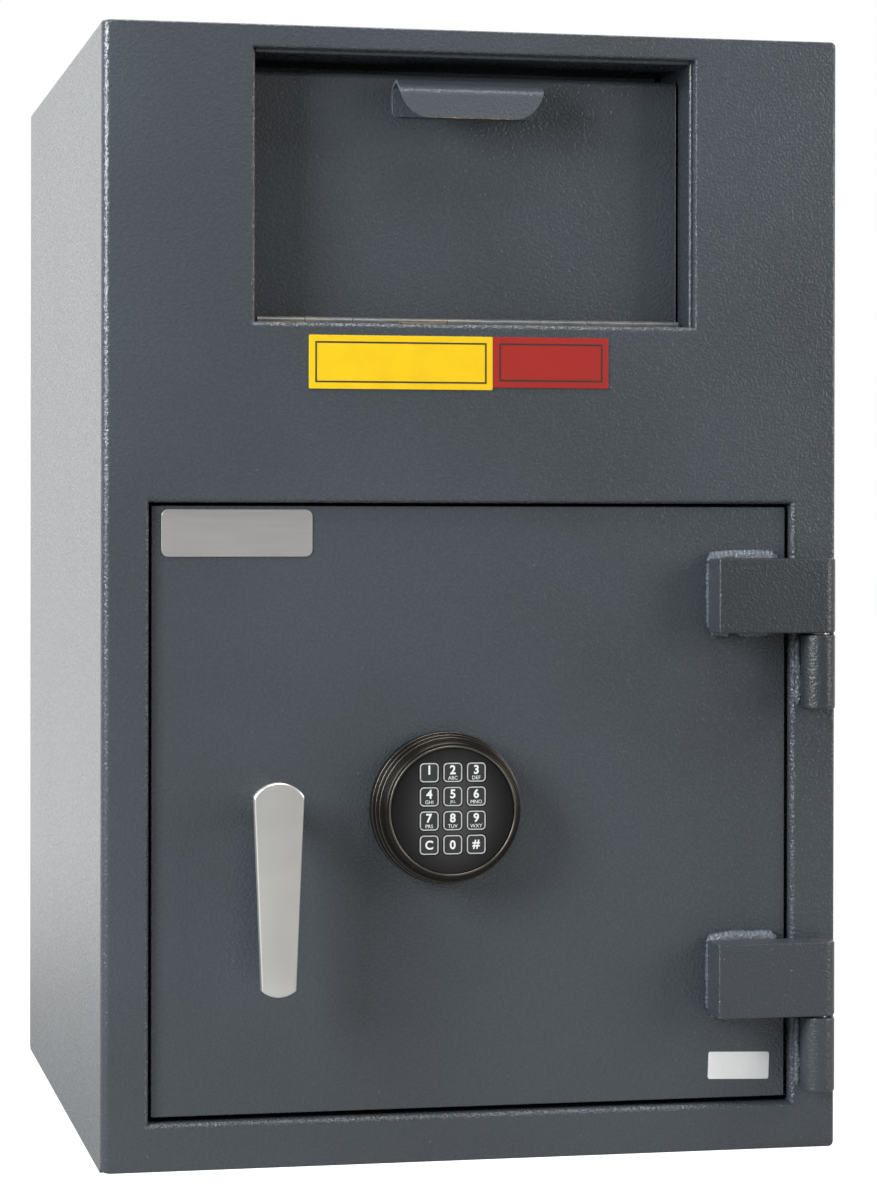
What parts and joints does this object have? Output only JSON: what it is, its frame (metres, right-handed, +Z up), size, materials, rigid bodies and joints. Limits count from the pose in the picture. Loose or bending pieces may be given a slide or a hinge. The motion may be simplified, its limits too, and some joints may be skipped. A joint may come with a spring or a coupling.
{
  "type": "drop safe with tilting deposit hopper",
  "caption": "Steel drop safe: a tilt-out deposit hopper above, and a lever-handled door with a round keypad and sliding locking bolts below.",
  "frame": {"origin": "centre of the underside, on the floor", "axes": "+Z up, the front faces -Y, +X to the right as seen from the front"},
  "size_m": [0.508, 0.545, 0.762],
  "materials": {
    "paint": "semi-gloss textured grey enamel",
    "dark_steel": "black oxide",
    "bare_steel": "turned",
    "satin_metal": "satin warm grey",
    "black_plastic": "semi-gloss bronze black",
    "key_plastic": "matte rubber-like",
    "board": "solder mask",
    "silver_plate": "satin",
    "yellow_plate": "laminated sign, bare",
    "red_plate": "laminated sign, bare"
  },
  "bodies": {
    "safe_body": {"left_side_plate": "paint", "right_side_plate": "paint", "top_plate": "paint", "back_plate": "paint", "bottom_plate": "paint", "front_plate": "paint", "deposit_soffit": "paint", "deposit_jamb_left": "paint", "deposit_jamb_right": "paint", "deposit_sill": "paint", "hopper_stop_strip": "paint", "throat_shield_left": "paint", "throat_shield_right": "paint", "toothed_baffle": "paint", "hopper_rest_bar": "dark_steel", "hopper_hinge_sill_leaf": "dark_steel", "hopper_hinge_pin": "bare_steel", "door_frame": "paint", "hinge_knuckle_upper": "paint", "hinge_knuckle_lower": "paint", "hinge_pin_upper": "bare_steel", "hinge_pin_lower": "bare_steel", "yellow_plate": "yellow_plate", "red_plate": "red_plate"},
    "hopper": {"hopper_panel": "paint", "hopper_floor": "paint", "hopper_side_left": "paint", "hopper_side_right": "paint", "hopper_hinge_panel_leaf": "dark_steel", "hopper_pull": "paint"},
    "door": {"door_plate": "paint", "hinge_leaf_upper": "paint", "hinge_leaf_lower": "paint", "dead_bar": "dark_steel", "bolt_guide": "dark_steel", "name_plate": "silver_plate", "lock_case": "satin_metal", "keypad_housing": "black_plastic", "keypad_face": "black_plastic", "circuit_board": "board"},
    "handle": {"lever_handle": "satin_metal", "spindle_and_crank": "dark_steel"},
    "bolt_work": {"bolt_bar": "dark_steel", "bolt_lower": "bare_steel", "bolt_middle": "bare_steel", "bolt_upper": "bare_steel"},
    "lock_bolt": {"swing_bolt": "bare_steel"},
    "button_1": {"key_1": "key_plastic"},
    "button_2": {"key_2": "key_plastic"},
    "button_3": {"key_3": "key_plastic"},
    "button_4": {"key_4": "key_plastic"},
    "button_5": {"key_5": "key_plastic"},
    "button_6": {"key_6": "key_plastic"},
    "button_7": {"key_7": "key_plastic"},
    "button_8": {"key_8": "key_plastic"},
    "button_9": {"key_9": "key_plastic"},
    "button_c": {"key_c": "key_plastic"},
    "button_0": {"key_0": "key_plastic"},
    "button_hash": {"key_hash": "key_plastic"}
  },
  "joints": [
    {"name": "hopper_tilt", "type": "hinge", "parent": "safe_body", "child": "hopper", "pos_m": [0, -0.2316, 0.5655], "axis": [1, 0, 0], "range_deg": [0, 48]},
    {"name": "door_swing", "type": "hinge", "parent": "safe_body", "child": "door", "pos_m": [0.2385, -0.2672, 0.2], "axis": [0, 0, 1], "range_deg": [0, 178]},
    {"name": "handle_turn", "type": "hinge", "parent": "door", "child": "handle", "pos_m": [-0.141, -0.26, 0.243], "axis": [0, 1, 0], "range_deg": [0, 90]},
    {"name": "bolt_slide", "type": "slide", "parent": "door", "child": "bolt_work", "axis": [-1, 0, 0], "range_m": [0, 0.024]},
    {"name": "lock_bolt_turn", "type": "hinge", "parent": "door", "child": "lock_bolt", "pos_m": [-0.041, -0.22, 0.223], "axis": [0, -1, 0], "range_deg": [0, 60]},
    {"name": "press_1", "type": "slide", "parent": "door", "child": "button_1", "axis": [0, 1, 0], "range_m": [0, 0.0008], "stiffness_N_per_m": 800, "springref_m": -0.001},
    {"name": "press_2", "type": "slide", "parent": "door", "child": "button_2", "axis": [0, 1, 0], "range_m": [0, 0.0008], "stiffness_N_per_m": 800, "springref_m": -0.001},
    {"name": "press_3", "type": "slide", "parent": "door", "child": "button_3", "axis": [0, 1, 0], "range_m": [0, 0.0008], "stiffness_N_per_m": 800, "springref_m": -0.001},
    {"name": "press_4", "type": "slide", "parent": "door", "child": "button_4", "axis": [0, 1, 0], "range_m": [0, 0.0008], "stiffness_N_per_m": 800, "springref_m": -0.001},
    {"name": "press_5", "type": "slide", "parent": "door", "child": "button_5", "axis": [0, 1, 0], "range_m": [0, 0.0008], "stiffness_N_per_m": 800, "springref_m": -0.001},
    {"name": "press_6", "type": "slide", "parent": "door", "child": "button_6", "axis": [0, 1, 0], "range_m": [0, 0.0008], "stiffness_N_per_m": 800, "springref_m": -0.001},
    {"name": "press_7", "type": "slide", "parent": "door", "child": "button_7", "axis": [0, 1, 0], "range_m": [0, 0.0008], "stiffness_N_per_m": 800, "springref_m": -0.001},
    {"name": "press_8", "type": "slide", "parent": "door", "child": "button_8", "axis": [0, 1, 0], "range_m": [0, 0.0008], "stiffness_N_per_m": 800, "springref_m": -0.001},
    {"name": "press_9", "type": "slide", "parent": "door", "child": "button_9", "axis": [0, 1, 0], "range_m": [0, 0.0008], "stiffness_N_per_m": 800, "springref_m": -0.001},
    {"name": "press_c", "type": "slide", "parent": "door", "child": "button_c", "axis": [0, 1, 0], "range_m": [0, 0.0008], "stiffness_N_per_m": 800, "springref_m": -0.001},
    {"name": "press_0", "type": "slide", "parent": "door", "child": "button_0", "axis": [0, 1, 0], "range_m": [0, 0.0008], "stiffness_N_per_m": 800, "springref_m": -0.001},
    {"name": "press_hash", "type": "slide", "parent": "door", "child": "button_hash", "axis": [0, 1, 0], "range_m": [0, 0.0008], "stiffness_N_per_m": 800, "springref_m": -0.001}
  ],
  "couplings": [
    {"joint": "bolt_slide", "follows": "handle_turn", "m_per_rad": 0.015279},
    {"joint": "lock_bolt_turn", "follows": "handle_turn", "ratio": 0.66667}
  ]
}
